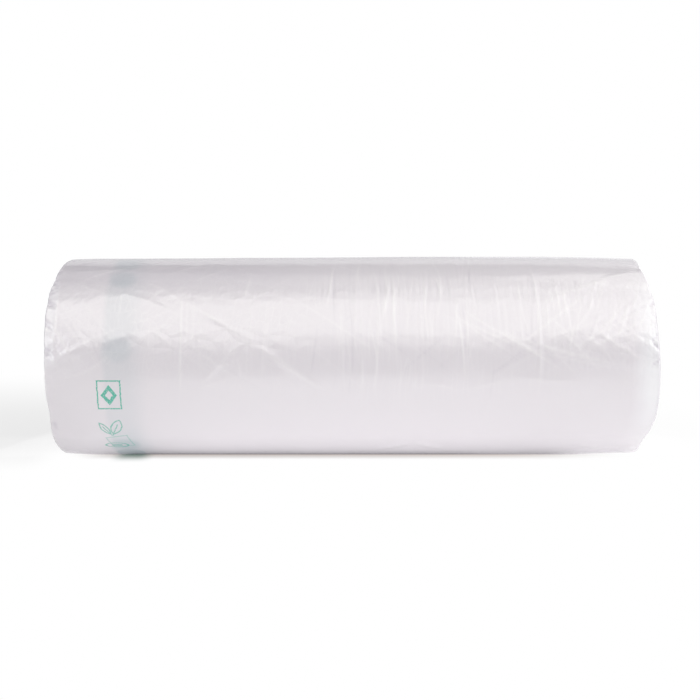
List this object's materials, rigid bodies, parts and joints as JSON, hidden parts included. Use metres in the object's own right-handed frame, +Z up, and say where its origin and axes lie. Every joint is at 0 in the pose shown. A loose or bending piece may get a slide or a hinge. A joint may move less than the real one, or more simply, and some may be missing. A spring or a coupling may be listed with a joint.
{
  "type": "roll of clear plastic bags",
  "caption": "Full roll of thin clear plastic bags wound round an open cardboard core, lying on its side, with folds in its outer bag.",
  "frame": {"origin": "middle of the small flat that the roll rests on, under the middle of the roll", "axes": "+X along the roll's axis, with the printed end at -X; +Z up; the front, where the free end of the web isn't, is -Y"},
  "size_m": [0.3, 0.1036, 0.1025],
  "materials": {
    "film": "glossy, milky clear film",
    "core": "plain brown spiral-wound card"
  },
  "bodies": {
    "root": {"wound_bags": "film", "core_tube": "core"}
  },
  "joints": []
}
